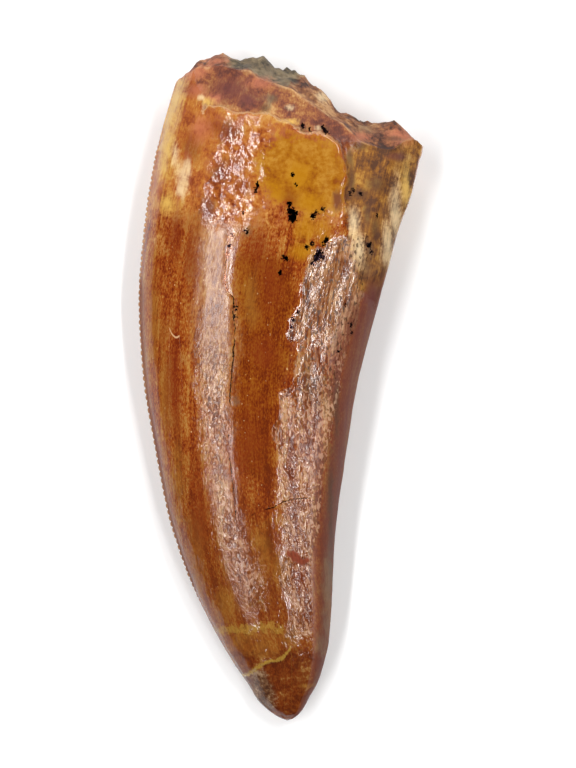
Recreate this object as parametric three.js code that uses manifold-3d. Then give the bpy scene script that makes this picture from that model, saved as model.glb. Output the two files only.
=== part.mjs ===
// Fossil theropod tooth: a recurved, saw-edged crown broken off at the neck, lying on its side.
// Units are millimetres and +Z is up. The tip points to -Y, the broken neck to +Y and the
// convex serrated front edge to -X. The origin is under the middle of the outline, at rest height.

import * as THREE from "three";
import { ImprovedNoise } from "three/addons/math/ImprovedNoise.js";
import { mergeVertices } from "three/addons/utils/BufferGeometryUtils.js";
import Module from "manifold-3d";

// Crown stations from past the neck to the tip: front edge x, y, then back edge x, y,
// then the thickness and how far the belly is lifted off the rest plane.
const STATIONS = [
  [-8.6, 33.1, 14.8, 29.5, 11.4, 0.0],
  [-10.4, 27.4, 13.9, 24.7, 11.3, 0.0],
  [-11.9, 21.7, 12.7, 19.4, 11.2, 0.0],
  [-12.8, 16.0, 11.0, 14.0, 11.0, 0.0],
  [-13.4, 8.9, 9.2, 7.5, 10.7, 0.0],
  [-13.0, 1.2, 7.4, 0.7, 10.1, 0.0],
  [-11.9, -5.6, 6.4, -5.5, 9.4, 0.0],
  [-10.5, -12.5, 5.5, -11.6, 8.5, 0.0],
  [-8.6, -18.2, 5.1, -16.8, 7.5, 0.05],
  [-6.5, -22.7, 4.9, -21.4, 6.4, 0.2],
  [-4.5, -26.2, 4.5, -25.0, 5.2, 0.5],
  [-3.0, -28.4, 3.7, -27.9, 4.1, 0.8],
  [-2.1, -29.9, 2.8, -29.6, 3.2, 1.15],
  [-1.1, -30.85, 2.15, -30.75, 2.4, 1.5],
  [-0.1, -31.5, 1.5, -31.45, 1.5, 1.85],
  [0.7, -31.8, 0.7, -31.8, 0.0, 2.6],
];

// Cross section, as shares of the chord from front to back and of the half thickness.
const UPPER_SIDE = [
  [0.0, -0.05], [0.04, 0.26], [0.11, 0.52], [0.2, 0.755], [0.27, 0.862], [0.34, 0.93], [0.41, 0.982],
  [0.5, 0.998], [0.6, 1.0], [0.68, 0.972], [0.76, 0.925], [0.84, 0.87], [0.9, 0.81], [0.95, 0.6],
  [0.985, 0.3], [1.0, 0.0], [0.985, -0.28], [0.94, -0.54],
];
const BELLY_SIDE = [
  [0.94, -0.54], [0.86, -0.78], [0.71, -0.95], [0.5, -1.0], [0.3, -0.94], [0.15, -0.7],
  [0.05, -0.34], [0.0, -0.05],
];
const BELLY_SUNK = 0.35;

// Shares of the half thickness between which lost skin on the upper side begins to show.
const UPWARD = { from: 0.35, full: 0.8 };

// The break across the neck: its lip on the upper side, and its outline deeper down.
const BREAK_LIP = [
  [-16, 28.0], [-9.6, 28.9], [-7.3, 29.8], [-3.0, 29.8], [-2.0, 28.9], [1.1, 27.9], [4.8, 25.1],
  [6.0, 24.7], [7.5, 23.2], [9.8, 22.3], [11.3, 22.2], [13.3, 23.0], [16, 23.0],
];
const BREAK_DEEP = [
  [-16, 28.0], [-9.4, 29.6], [-8.0, 30.8], [-5.4, 31.8], [-3.6, 30.9], [-1.6, 31.4], [-0.5, 30.4],
  [2.3, 29.7], [2.9, 28.8], [4.4, 27.6], [5.2, 26.4], [8.6, 25.0], [10.9, 25.3], [12.0, 24.2],
  [13.4, 22.9], [16, 22.6],
];
const LIP_HEIGHT = 10.2;
const DEEP_HEIGHT = 5.6;
const FAR_DROP = 1.2;
const BREAK_LUMP = 0.45;
const BREAK_LUMP_SIZE = 2.3;
const BREAK_LUMP_SLICE = 3.7;
const MISSING_BLOCK = { width: 34, far: 45, height: 18, lift: 6, columns: 34, layers: 15 };

// Lost skin on the upper side, as outlines in X and Y with the depth that is gone.
const NECK_SPALL = {
  depth: 0.42,
  outline: [
    [-8.2, 32.0], [-7.4, 26.2], [-3.0, 25.7], [0.4, 25.0], [2.0, 24.2], [3.7, 23.8], [5.7, 22.8],
    [6.2, 21.3], [6.2, 16.5], [8.5, 13.0], [16, 13.0], [16, 32.0],
  ],
};
const BACK_FLAKE = {
  depth: 0.16,
  outline: [
    [2.9, 13.2], [2.2, 10.3], [2.2, 7.9], [0.7, 4.3], [1.9, 3.9], [1.3, 0.6], [-0.2, -1.5], [-0.7, -4.7],
    [0.2, -6.8], [0.0, -13.0], [0.9, -15.5], [0.6, -23.9], [2.9, -23.9], [2.9, -17.0], [3.9, -6.0],
    [4.8, 0.5], [5.5, 5.6], [6.2, 13.6],
  ],
};
const TIP_CHIP = {
  depth: 0.12,
  outline: [[-3.5, -27.0], [-1.6, -26.0], [0.7, -25.2], [0.8, -27.8], [-0.6, -29.7], [-3.4, -29.0]],
};
const FLAKE_SLOPE = 0.55;

// Crust that swells from the middle of the crown to the neck.
const CRUST_FROM = 12;
const CRUST_FULL = 22;
const CRUST_LUMP = 0.22;
const CRUST_SIZE = 1.7;

// Denticles of the two saw edges: spacing, reach past the edge, root under it and thickness.
const DENTICLE_PITCH = { neck: 0.5, middle: 0.62, tip: 0.52 };
const PITCH_PLACES = { neck: 18, middle: -8, tip: -22 };
const DENTICLE_REACH = 0.1;
const DENTICLE_ROOT = 0.08;
const DENTICLE_SUNK = 0.06;
const DENTICLE_THICK = 0.36;
const WORN_REACH = 0.45;
const WORN_ENDS = { neck: 2.5, tip: 3.5 };
const FRONT_SAW = { from: 24.5, to: -21.5 };
const BACK_SAW = { from: 14.0, to: -20.0 };
const SAW_STEPS = 4000;

// Mesh of the crown. A row power over 1 sets the rows closer towards the neck.
const ROWS = 64;
const ROW_POWER = 1.2;
const UPPER_COLUMNS = 29;
const BELLY_COLUMNS = 15;
const SAME_POINT = 1e-4;

// The block under the rest plane that the belly is cut flat by.
const REST_BLOCK = { width: 60, length: 90, height: 10 };

const wasm = await Module();
wasm.setup();
const noise = new ImprovedNoise();

function smoothStep(low, high, value) {
  return THREE.MathUtils.smoothstep(value, low, high);
}

function throughPoints(points) {
  return new THREE.CatmullRomCurve3(points, false, "catmullrom", 0.5);
}

const frontEdge = throughPoints(STATIONS.map((s) => new THREE.Vector3(s[0], s[1], 0)));
const backEdge = throughPoints(STATIONS.map((s) => new THREE.Vector3(s[2], s[3], 0)));
const girth = throughPoints(STATIONS.map((s) => new THREE.Vector3(s[4], s[5], 0)));
const midLine = throughPoints(
  STATIONS.map((s) => new THREE.Vector3((s[0] + s[2]) / 2, (s[1] + s[3]) / 2, 0)),
);
const upperSide = throughPoints(UPPER_SIDE.map((p) => new THREE.Vector3(p[0], p[1], 0)));
const bellySide = throughPoints(BELLY_SIDE.map((p) => new THREE.Vector3(p[0], p[1], 0)));

// Height of a chain of straight pieces at x.
function alongChain(chain, x) {
  for (let i = 1; i < chain.length; i += 1) {
    if (x <= chain[i][0]) {
      const share = (x - chain[i - 1][0]) / (chain[i][0] - chain[i - 1][0]);
      return THREE.MathUtils.lerp(chain[i - 1][1], chain[i][1], share);
    }
  }
  return chain[chain.length - 1][1];
}

// Distance from a point to an outline, positive inside it.
function depthInside(outline, x, y) {
  let nearest = Infinity;
  let inside = false;
  for (let i = 0, j = outline.length - 1; i < outline.length; j = i, i += 1) {
    const [ax, ay] = outline[j];
    const [bx, by] = outline[i];
    const lengthSquared = (bx - ax) ** 2 + (by - ay) ** 2;
    const share = ((x - ax) * (bx - ax) + (y - ay) * (by - ay)) / lengthSquared;
    const held = THREE.MathUtils.clamp(share, 0, 1);
    nearest = Math.min(nearest, Math.hypot(x - ax - held * (bx - ax), y - ay - held * (by - ay)));
    if (ay > y !== by > y && x < ((bx - ax) * (y - ay)) / (by - ay) + ax) inside = !inside;
  }
  return inside ? nearest : -nearest;
}

// How far the upper side stands above or below the smooth crown at x, y.
function relief(x, y) {
  let height = 0;
  for (const flake of [NECK_SPALL, BACK_FLAKE, TIP_CHIP]) {
    height -= flake.depth * smoothStep(-FLAKE_SLOPE / 2, FLAKE_SLOPE / 2, depthInside(flake.outline, x, y));
  }
  return height;
}

function crust(x, y, z) {
  const share = smoothStep(CRUST_FROM, CRUST_FULL, y);
  return share * CRUST_LUMP * noise.noise(x / CRUST_SIZE, y / CRUST_SIZE, z / CRUST_SIZE);
}

// A point of the crown: along runs from 0 past the neck to 1 at the tip.
function crownPoint(along, sectionPoint) {
  const front = frontEdge.getPoint(along);
  const back = backEdge.getPoint(along);
  const size = girth.getPoint(along);
  const place = front.lerp(back, sectionPoint.x);
  place.z = size.y + (size.x / 2) * (1 + sectionPoint.y);
  const upward = smoothStep(UPWARD.from, UPWARD.full, sectionPoint.y);
  place.z += upward * relief(place.x, place.y) + crust(place.x, place.y, place.z) - BELLY_SUNK;
  return place;
}

function sectionRing() {
  const ring = [];
  for (let i = 0; i < UPPER_COLUMNS; i += 1) ring.push(upperSide.getPoint(i / UPPER_COLUMNS));
  for (let i = 0; i < BELLY_COLUMNS; i += 1) ring.push(bellySide.getPoint(i / BELLY_COLUMNS));
  return ring;
}

// The whole crown, closed by a flat end past the neck and by a single point at the tip.
function crownGeometry() {
  const ring = sectionRing();
  const count = ring.length;
  const places = [];
  const faces = [];
  for (let row = 0; row < ROWS; row += 1) {
    const along = midLine.getUtoTmapping(1 - (1 - row / ROWS) ** ROW_POWER);
    for (const sectionPoint of ring) places.push(...crownPoint(along, sectionPoint).toArray());
  }
  for (let row = 0; row + 1 < ROWS; row += 1) {
    for (let i = 0; i < count; i += 1) {
      const here = row * count + i;
      const next = row * count + ((i + 1) % count);
      faces.push(here, here + count, next, next, here + count, next + count);
    }
  }
  const tip = ROWS * count;
  places.push(...crownPoint(1, ring[0]).toArray());
  const end = tip + 1;
  places.push(...crownPoint(0, new THREE.Vector3(0.5, 0, 0)).toArray());
  for (let i = 0; i < count; i += 1) {
    const next = (i + 1) % count;
    faces.push((ROWS - 1) * count + i, tip, (ROWS - 1) * count + next);
    faces.push(i, next, end);
  }
  const geometry = new THREE.BufferGeometry();
  geometry.setAttribute("position", new THREE.Float32BufferAttribute(places, 3));
  geometry.setIndex(faces);
  return geometry;
}

// Where the break runs at x and z: it leans back below the lip and falls away near the belly.
function breakAt(x, z) {
  const depth = smoothStep(0, 1, (LIP_HEIGHT - z) / (LIP_HEIGHT - DEEP_HEIGHT));
  const leaning = THREE.MathUtils.lerp(alongChain(BREAK_LIP, x), alongChain(BREAK_DEEP, x), depth);
  const drop = FAR_DROP * smoothStep(0, DEEP_HEIGHT, DEEP_HEIGHT - z);
  const lump = noise.noise(x / BREAK_LUMP_SIZE, BREAK_LUMP_SLICE, z / BREAK_LUMP_SIZE);
  return leaning - drop + BREAK_LUMP * lump * depth;
}

// What is missing past the break, as a block with the break for its lower face.
function missingNeck() {
  const { width, far, height, lift, columns, layers } = MISSING_BLOCK;
  const block = new THREE.BoxGeometry(width, 1, height, columns, 1, layers).translate(0, 0, lift);
  const place = block.getAttribute("position");
  for (let i = 0; i < place.count; i += 1) {
    place.setY(i, place.getY(i) > 0 ? far : breakAt(place.getX(i), place.getZ(i)));
  }
  return block;
}

function toManifold(geometry) {
  const plain = geometry.clone();
  plain.deleteAttribute("normal");
  plain.deleteAttribute("uv");
  const joined = mergeVertices(plain.index ? plain : mergeVertices(plain), SAME_POINT);
  const mesh = new wasm.Mesh({
    numProp: 3,
    vertProperties: new Float32Array(joined.getAttribute("position").array),
    triVerts: new Uint32Array(joined.index.array),
  });
  mesh.merge();
  return new wasm.Manifold(mesh);
}

function toGeometry(solid) {
  const mesh = solid.getMesh();
  const geometry = new THREE.BufferGeometry();
  geometry.setAttribute("position", new THREE.BufferAttribute(mesh.vertProperties, 3));
  geometry.setIndex(new THREE.BufferAttribute(mesh.triVerts, 1));
  return geometry;
}

// Denticles are widest in the middle of the crown and finer towards both ends.
function pitchAt(y) {
  const { neck, middle, tip } = DENTICLE_PITCH;
  const toNeck = THREE.MathUtils.clamp(y / PITCH_PLACES.neck, 0, 1);
  const toTip = smoothStep(-PITCH_PLACES.middle, -PITCH_PLACES.tip, -y);
  return middle + (neck - middle) * toNeck + (tip - middle) * toTip;
}

// One blunt denticle, as wide along the edge as the spacing.
function denticleAt(place, run, outward, fade) {
  const reach = DENTICLE_REACH * THREE.MathUtils.lerp(WORN_REACH, 1, fade);
  const denticle = new THREE.OctahedronGeometry(1);
  denticle.scale(reach + DENTICLE_ROOT, pitchAt(place.y) / 2, DENTICLE_THICK);
  denticle.rotateZ(Math.atan2(-run.x, run.y));
  denticle.translate(place.x - outward * DENTICLE_SUNK, place.y, place.z);
  return toManifold(denticle);
}

// Denticles one spacing apart along a crown edge, worn low at both ends of the saw.
function sawEdge(sectionPoint, saw, outward) {
  const denticles = [];
  let before = crownPoint(0, sectionPoint);
  let travelled = 0;
  for (let i = 1; i <= SAW_STEPS; i += 1) {
    const place = crownPoint(i / SAW_STEPS, sectionPoint);
    const sawn = place.y <= saw.from && place.y >= saw.to;
    if (sawn) travelled += place.distanceTo(before);
    if (sawn && travelled >= pitchAt(place.y)) {
      travelled -= pitchAt(place.y);
      const run = place.clone().sub(before).normalize();
      const nearNeck = smoothStep(0, WORN_ENDS.neck, saw.from - place.y);
      const nearTip = smoothStep(0, WORN_ENDS.tip, place.y - saw.to);
      denticles.push(denticleAt(place, run, outward, nearNeck * nearTip));
    }
    before = place;
  }
  return denticles;
}

function tooth() {
  const { width, length, height } = REST_BLOCK;
  const restBlock = new THREE.BoxGeometry(width, length, height).translate(0, 0, -height / 2);
  let solid = toManifold(crownGeometry());
  const edges = [
    ...sawEdge(upperSide.getPoint(0), FRONT_SAW, -1),
    ...sawEdge(upperSide.getPoint(1), BACK_SAW, 1),
  ];
  for (const denticle of edges) solid = solid.add(denticle);
  solid = solid.subtract(toManifold(missingNeck()));
  solid = solid.subtract(toManifold(restBlock));
  const material = new THREE.MeshStandardMaterial({ color: 0x9a5a22, roughness: 0.35, metalness: 0.0 });
  const mesh = new THREE.Mesh(toGeometry(solid), material);
  mesh.name = "tooth";
  return mesh;
}

const part = new THREE.Group();
part.add(tooth());
export default part;
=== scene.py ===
"""Looks of a fossil theropod tooth lying on its side: a recurved crown with amber-brown varnished
enamel, flaked along its back, cracked and spotted, and broken off at the neck.

Shapes are worked out in millimetres in the part's own frame and scaled to metres at the end:
the tip points to -Y, the broken neck to +Y, the saw-edged front to -X and +Z is up.
"""

import math

import bpy
import numpy as np
from mathutils import Euler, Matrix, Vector


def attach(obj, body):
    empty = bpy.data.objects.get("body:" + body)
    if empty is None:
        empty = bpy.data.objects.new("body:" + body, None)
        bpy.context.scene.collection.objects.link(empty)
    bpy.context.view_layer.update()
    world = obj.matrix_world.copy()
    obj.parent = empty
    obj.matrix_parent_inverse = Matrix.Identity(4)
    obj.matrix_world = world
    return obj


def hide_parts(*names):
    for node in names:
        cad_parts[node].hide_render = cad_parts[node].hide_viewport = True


MM = 0.001

# Crown stations from past the neck to the tip: front edge x, y, then back edge x, y,
# then the thickness and how far the belly is lifted off the rest plane.
STATIONS = np.array([
    [-8.6, 33.1, 14.8, 29.5, 11.4, 0],
    [-10.4, 27.4, 13.9, 24.7, 11.3, 0],
    [-11.9, 21.7, 12.7, 19.4, 11.2, 0],
    [-12.8, 16, 11, 14, 11, 0],
    [-13.4, 8.9, 9.2, 7.5, 10.7, 0],
    [-13, 1.2, 7.4, 0.7, 10.1, 0],
    [-11.9, -5.6, 6.4, -5.5, 9.4, 0],
    [-10.5, -12.5, 5.5, -11.6, 8.5, 0],
    [-8.6, -18.2, 5.1, -16.8, 7.5, 0.05],
    [-6.5, -22.7, 4.9, -21.4, 6.4, 0.2],
    [-4.5, -26.2, 4.5, -25, 5.2, 0.5],
    [-3, -28.4, 3.7, -27.9, 4.1, 0.8],
    [-2.1, -29.9, 2.8, -29.6, 3.2, 1.15],
    [-1.1, -30.85, 2.15, -30.75, 2.4, 1.5],
    [-0.1, -31.5, 1.5, -31.45, 1.5, 1.85],
    [0.7, -31.8, 0.7, -31.8, 0, 2.6],
])

# Cross section, as shares of the chord from front to back and of the half thickness.
UPPER_SIDE = np.array([
    [0, -0.05], [0.04, 0.26], [0.11, 0.52], [0.2, 0.755], [0.27, 0.862], [0.34, 0.93], [0.41, 0.982],
    [0.5, 0.998], [0.6, 1], [0.68, 0.972], [0.76, 0.925], [0.84, 0.87], [0.9, 0.81], [0.95, 0.6],
    [0.985, 0.3], [1, 0], [0.985, -0.28], [0.94, -0.54],
])
BELLY_SIDE = np.array([
    [0.94, -0.54], [0.86, -0.78], [0.71, -0.95], [0.5, -1], [0.3, -0.94], [0.15, -0.7],
    [0.05, -0.34], [0, -0.05],
])
BELLY_SUNK = 0.35
MID_CHORD = 20.4
MID_HALF = 5.0

# The grid: distance between columns on each side and, within reach of a saw edge, next to it,
# the share along the crown from which rows run even, and the angle of a sharp edge in degrees.
UPPER_SPACING = (0.21, 0.11)
BELLY_SPACING = (0.5, 0.13)
EDGE_REACH = 0.75
LEAST_GAP = 0.6
SECTION_STEPS = 801
EDGE_STEPS = 6001
ROWS_EVEN_FROM = 0.21
SHARP_ANGLE = 55

# Cells of the noise before it repeats.
NOISE_CELLS = 32

# The break across the neck: its lip on the upper side, and its outline deeper down.
BREAK_LIP = np.array([
    [-16, 28], [-9.6, 28.9], [-7.3, 29.8], [-3, 29.8], [-2, 28.9], [1.1, 27.9], [4.8, 25.1], [6, 24.7],
    [7.5, 23.2], [9.8, 22.3], [11.3, 22.2], [13.3, 23], [16, 23],
])
BREAK_DEEP = np.array([
    [-16, 28], [-9.4, 29.6], [-8, 30.8], [-5.4, 31.8], [-3.6, 30.9], [-1.6, 31.4], [-0.5, 30.4],
    [2.3, 29.7], [2.9, 28.8], [4.4, 27.6], [5.2, 26.4], [8.6, 25], [10.9, 25.3], [12, 24.2],
    [13.4, 22.9], [16, 22.6],
])
LIP_HEIGHT = 10.2
DEEP_HEIGHT = 5.6
FAR_DROP = 1.2
BREAK_LUMP = 0.42
BREAK_GRAIN = 0.24
BREAK_CENTRE = (1.6, 5.2)
BREAK_RINGS = 34
RING_CROWDING = 0.9
RING_BLEND = (0.75, 1.0)
BREAK_WITHIN = 0.3
RIM_HALVINGS = 40
SEDIMENT_CORE = [
    [-4.6, 9], [0.2, 9.4], [1.4, 7.5], [2.2, 5], [1.5, 3], [-2, 2.2], [-5, 3.5], [-5.4, 6.5],
]

# Zones of the upper side where skin is lost, worn or of another kind, as outlines in X and Y.
ZONES = {
    "spall": [
        [-8.2, 32], [-7.4, 26.2], [-3, 25.7], [-0.8, 25.5], [0.4, 25], [2, 24.2], [3.7, 23.8],
        [5.7, 22.8], [6.2, 21.3], [6.2, 16.5], [6.8, 11], [16, 11], [16, 32],
    ],
    "flake": [
        [2.9, 13.2], [8.4, 14.6], [7.7, 8.4], [6.6, 5.6], [5.5, 0.5], [4.4, -6], [3.6, -12.5],
        [3, -17], [2.9, -23.9], [0.6, -23.9], [1, -20.8], [0, -17.8], [0.9, -15.5], [0, -13],
        [0.3, -10.2], [-0.1, -8.6], [0.2, -6.8], [-0.7, -4.7], [-0.2, -1.5], [-0.1, -0.1], [1.3, 0.6],
        [1.4, 2.8], [1.9, 3.9], [0.7, 4.3], [1.1, 6.5], [2.2, 7.9], [2.2, 10.3],
    ],
    "worn": [
        [-8, 18.9], [-4.9, 18.9], [-4.8, 14.1], [-4.9, 9.4], [-4.4, 5.6], [-4.7, -1.1], [-4.7, -5.8],
        [-4.2, -10.6], [-3.2, -14.4], [-1.7, -17.7], [-1.3, -20.6], [-2.9, -21.2], [-4.2, -19.1],
        [-5.5, -14.4], [-6.5, -8.7], [-7.2, -3], [-7.7, 3.7], [-7.9, 11.3],
    ],
    "amber": [
        [-1.1, 22.7], [0.5, 23.6], [2.8, 23.5], [5, 22.7], [6.2, 21.2], [6.3, 18.9], [5.8, 17.3],
        [4, 16.6], [1.9, 16.6], [0, 17.4], [-1.7, 18.9], [-2.1, 20.9],
    ],
    "crust": [
        [-5.5, 24.7], [-1.7, 25.3], [-0.5, 22.7], [-1.3, 19.3], [-1.1, 16.5], [-3.8, 14.9],
        [-7.1, 15.2], [-8, 17.4], [-7.1, 19.8], [-6.3, 22.7],
    ],
    "strip": [
        [6.2, 21.8], [8, 23.2], [14.5, 23.4], [13.5, 17], [12, 12], [10, 7.5], [7.4, 9], [6.6, 14],
        [6.2, 18],
    ],
    "island": [
        [0.7, -15.2], [1.3, -15.2], [1.7, -15.7], [2.2, -16], [2.9, -16], [2.9, -16.6], [2, -16.6],
        [1.4, -16.3], [0.9, -15.8],
    ],
    "chip": [[-3.2, -27.2], [-1.6, -26.4], [-0.8, -28.4], [-0.2, -30.4], [-1.4, -31], [-2.6, -29.4]],
    "clear": [
        [-4.4, 13], [0.6, 12.4], [1.8, 8], [0.6, 5], [1.4, 2.8], [-0.2, -1], [-0.8, -4.5], [-0.4, -7],
        [-1.4, -8.6], [-3.2, -8], [-4.4, -4], [-4.3, 5],
    ],
}
JAG_X = 0.28
JAG_Y = 0.4

# Relief of the skin: depths and heights, each with the spans over which it sets in.
UPWARD = (0.2, 0.55)
SPALL_DEPTH = 0.42
SPALL_EDGE = (-0.12, 0.15)
SPALL_X = (-9, -4.5)
SPALL_Y = (12, 18)
STRIP_SLOPE = 0.1
STRIP_X = (6.2, 10)
STRIP_EDGE = (-0.6, 0.2)
FLAKE_DEPTH = 0.09
FLAKE_EDGE = (-0.06, 0.12)
FLAKE_BACK = (0.72, 0.86)
FLAKE_DEEPER_Y = (-3, 3)
SAG_SLOPE = 0.13
SAG_MIDDLE = 2.8
SAG_EDGE = (-0.1, 0.6)
SAG_Y = (-4.5, -0.5, 2, 6.5)
ISLAND_RISE = 0.03
ISLAND_EDGE = (-0.05, 0.15)
CHIP_DEPTH = 0.12
CHIP_STEP = (0, 0.22)
CHIP_TO_X = (0.4, 2.4)
HEALED_RISE = 0.02
HEALED_WIDTH = (0.15, 0.5)
HEALED_TO_X = (0.4, 1.2)
NECK_Y = (10, 24)
NECK_LUMP = 0.045
CRUST_LUMP = 0.11
CRUST_EDGE = (-0.6, 0.8)
CAP_LUMP = 0.05
CAP_EDGE = (-0.1, 0.4)
AMBER_EDGE = (-0.3, 0.4)
FIBRE_DEPTH = 0.035
BARE_EDGE = (-0.2, 0.3)
WAVE_HEIGHT = 0.012
CLEAR_EDGE = (-0.5, 0.5)
CRACK_DEPTH = 0.035
CRACK_WIDTH = (0.04, 0.2)
HIDDEN_WAVE = 0.05
HIDDEN_NECK_LUMP = 0.1
EDGE_EASE = (0, 0.9)
EDGE_SHARE = 0.15

# Back flank darkened as painted shade and front rim tinted plum as a painted sheen, and where along the
# tooth each ends.
FLANK_FROM = 0.905
FLANK_RISE = 12.0
FLANK_TO_Y = (6, 14)
FLANK_BENEATH = (1, 4.5)
FRONT_RIM_WIDTH = 2.2
FRONT_RIM_Y = (-24, -18, 9, 16)

# Fields measured from a line, a field's value well away from its mark, and the least share seen.
LINES = ("crack", "cross", "upper_band", "lower_band", "thread", "lip")
AWAY = 3.0
SEEN = 0.02

# Colour dabs of the upper side: x, y and half sizes of each.
DABS = {
    "gold": [
        [-9.9, 27.4, 0.9, 2.5], [-10.6, 23.1, 0.9, 2.6], [-9.5, 28.9, 0.9, 0.9], [-10.7, 17.5, 1, 1.1],
        [11.9, 19.2, 0.5, 2.4], [0.8, 24.9, 1.2, 0.3], [-6.9, 26.9, 0.7, 0.5],
    ],
    "cream": [
        [-9.9, 22.2, 0.4, 1.3], [-9, 19.8, 0.7, 1.3], [-9.3, 18.7, 0.5, 0.7], [-8.6, 20.6, 0.3, 1.1],
        [3.6, 24.3, 0.4, 0.3], [4, 27.6, 0.5, 0.6], [10.9, 16.5, 0.6, 2.8], [10.2, 13.4, 0.6, 2.2],
        [6.9, 15.6, 0.6, 1.4], [7.4, 13, 0.6, 1.6], [-7.4, 27.3, 0.3, 0.3], [0.9, 26.2, 0.5, 0.3],
    ],
    "yellow": [
        [1.9, 19.6, 1.1, 1.5], [2.9, 17.4, 1.1, 1.1], [2.6, 15, 1.5, 1.3], [2.2, 12.7, 1.4, 1],
        [3.9, 14.6, 0.9, 1.6], [-0.4, 18.6, 0.9, 1.2],
    ],
    "plum": [
        [-4.6, 28, 2, 1.3], [-3, 27, 1.2, 0.8], [-8.4, 28.2, 1.1, 0.7], [-4.8, 23.9, 1, 1.1],
        [-5.5, 20, 0.9, 1.3], [-6.8, 16.8, 0.8, 1.5], [11, 21.8, 1.3, 0.4], [8.6, 8.6, 0.7, 2],
        [5.4, 17.6, 0.4, 0.9],
    ],
    "brick": [
        [11.3, 23.8, 1.5, 0.9], [-8, 28.1, 1, 0.8], [-6.4, 27.2, 0.9, 0.5], [-7.4, 24.4, 1.1, 1.3],
        [-1.8, 28.6, 1.3, 0.6], [7.6, 23.6, 1.2, 0.5], [-8, 29.9, 1.3, 0.9], [-6, 30.8, 1.2, 0.8],
    ],
    "red": [
        [-8.3, 22.9, 1, 1.6], [-4, 20.9, 1, 1], [-3.6, 18.8, 1, 0.8], [-9.7, 14.5, 0.9, 2.4],
        [-6.3, 24.6, 1, 0.7], [-8.2, 12.3, 0.9, 4], [-2.4, 13.2, 1.5, 2], [0.9, 17.9, 0.8, 1.1],
        [-0.9, 9.8, 1.3, 2.9], [-10, 0.8, 0.9, 5.7], [-7.6, -12.5, 1.1, 4.8], [-2.9, -4.9, 1.5, 4.8],
        [1.9, -17.6, 1, 1.8], [-1.6, 3.4, 1.4, 2.2],
    ],
    "dark": [
        [6.7, 19.4, 0.3, 1.9], [9.1, 19.2, 0.9, 0.9], [8.2, 16.4, 0.4, 1.3], [6.5, 21.6, 0.3, 0.9],
        [7.4, 22.7, 0.8, 0.4], [4.2, 24.2, 0.7, 0.4], [2.1, 24.3, 0.4, 0.4], [-1.5, 26.2, 0.5, 0.4],
        [-0.6, 27.1, 0.5, 0.4], [8.9, 14.9, 0.4, 1.3], [10.6, 23.5, 1.1, 0.3], [7.6, 18.2, 0.8, 0.5],
        [5.3, -1.1, 0.3, 5.7], [4.8, -12.5, 0.3, 5.7],
    ],
    "grey": [
        [-2.9, 30.6, 1.5, 0.8], [-1.1, 30.1, 1.1, 1.1], [0.2, 28.9, 0.9, 0.8], [-1, 27.1, 0.8, 0.5],
        [8.4, 12.9, 0.4, 1.1], [8, 11.4, 0.6, 1], [-3.2, 14.7, 0.6, 0.6], [8.1, 24.4, 1.1, 0.7],
        [3.8, -23.9, 0.6, 1.3], [-4.1, -1.2, 0.3, 0.5], [4.5, -18.5, 0.5, 3.6], [4.3, -22.3, 0.5, 1.6],
        [3, 0, 1.4, 2.8],
    ],
    "olive": [
        [11.6, 16.6, 0.5, 3.4], [-11.9, 6.5, 0.5, 5.7], [-10.9, -1.1, 0.6, 5.7],
        [-9.6, -7.7, 0.7, 4.8], [-7.8, -14.9, 0.9, 3.8], [-5.1, -20.1, 0.9, 2.3],
        [-1.7, -14.9, 1.1, 2.1], [0.2, -16.9, 0.9, 1.7], [-3.4, -23.9, 1.7, 1.5],
        [-1.7, -24.4, 1.9, 1.1], [4.6, -20.1, 0.5, 4.8], [-2.7, 8.4, 0.8, 3], [10, 12, 0.8, 2.3],
        [1, -23.6, 1.2, 1], [2.6, -28.3, 0.7, 0.2],
    ],
}

# Cracks of the upper side, each a chain of points along its run.
LONG_CRACK = np.array([
    [-4.7, 15.5], [-4.9, 13], [-5.2, 10], [-4.9, 9.1], [-4.3, 8.4], [-4.4, 7.1], [-4.2, 5.6],
    [-4.4, 2.3], [-4.7, -0.7], [-4.6, -2.2], [-4.8, -3.4], [-4.8, -6], [-4.4, -9], [-4.1, -12.7],
])
CROSS_CRACK = np.array([
    [-2.6, -11.9], [-2.2, -11.5], [-0.6, -11.2], [-0.1, -10.8], [0.9, -10.5], [2.1, -10.3],
    [3.2, -10.5],
])
LONG_CRACK_Y = (-12.7, -11.7, 14.5, 15.5)
CROSS_CRACK_X = (-2.8, -2.2, 2.9, 3.3)

# Yellow healed lines across the tip, each a chain of points along its run.
UPPER_BAND = np.array([[-5.5, -23.1], [-4.9, -22.8], [-3.5, -22.9], [-1, -22.5], [-0.1, -22.8]])
LOWER_BAND = np.array([
    [-3.5, -27.6], [-3, -27.2], [-2.6, -26.8], [-1.9, -26.2], [-1, -26], [-0.1, -25.8], [0.5, -25.4],
    [0.9, -24.8], [2.5, -24.4],
])
UPPER_BAND_TO_X = 0.4
LOWER_BAND_TO_X = 1.1

# A pale curled thread stuck to the enamel.
THREAD = np.array([[-10.4, 5.7], [-10.15, 5.1], [-9.8, 4.8], [-9.5, 4.85], [-9.25, 5.2]])

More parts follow.
